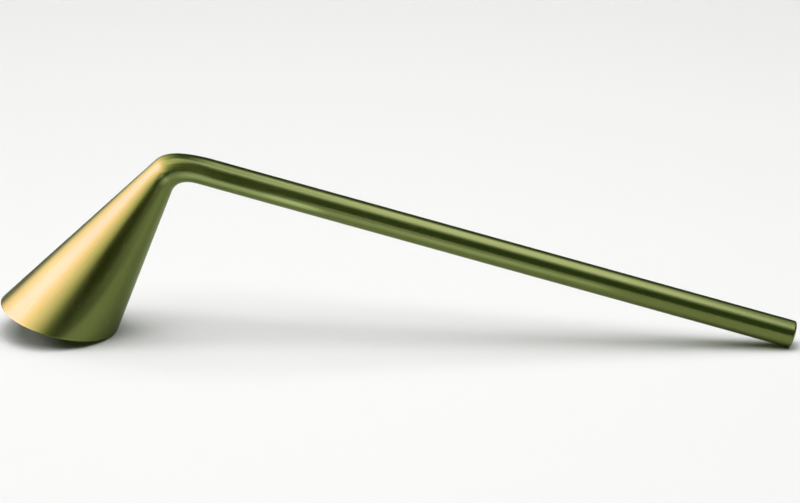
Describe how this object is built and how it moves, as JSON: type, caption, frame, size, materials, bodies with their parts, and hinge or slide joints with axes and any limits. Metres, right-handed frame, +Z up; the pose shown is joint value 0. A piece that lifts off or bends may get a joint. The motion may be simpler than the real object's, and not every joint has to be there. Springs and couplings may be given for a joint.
{
  "type": "candle snuffer",
  "caption": "Candle snuffer: a leaning conical bell with an oblique mouth, a tapered elbow and a straight round tube handle with a plugged end.",
  "frame": {"origin": "bottom centre of the bounding box, on the table that the snuffer lies on, resting on the handle side of the bell's rim and on the handle's end", "axes": "+X from the bell towards the handle's end along the table, +Y across the snuffer, square to its plane of symmetry, +Z up"},
  "size_m": [0.2328, 0.0332, 0.0555],
  "materials": {
    "bell_brass": "satin brushed brass",
    "elbow_brass": "satin brushed brass",
    "handle_brass": "satin brushed brass",
    "plug_brass": "satin brushed brass"
  },
  "bodies": {
    "root": {"bell": "bell_brass", "elbow": "elbow_brass", "handle_tube": "handle_brass", "end_plug": "plug_brass"}
  },
  "joints": []
}
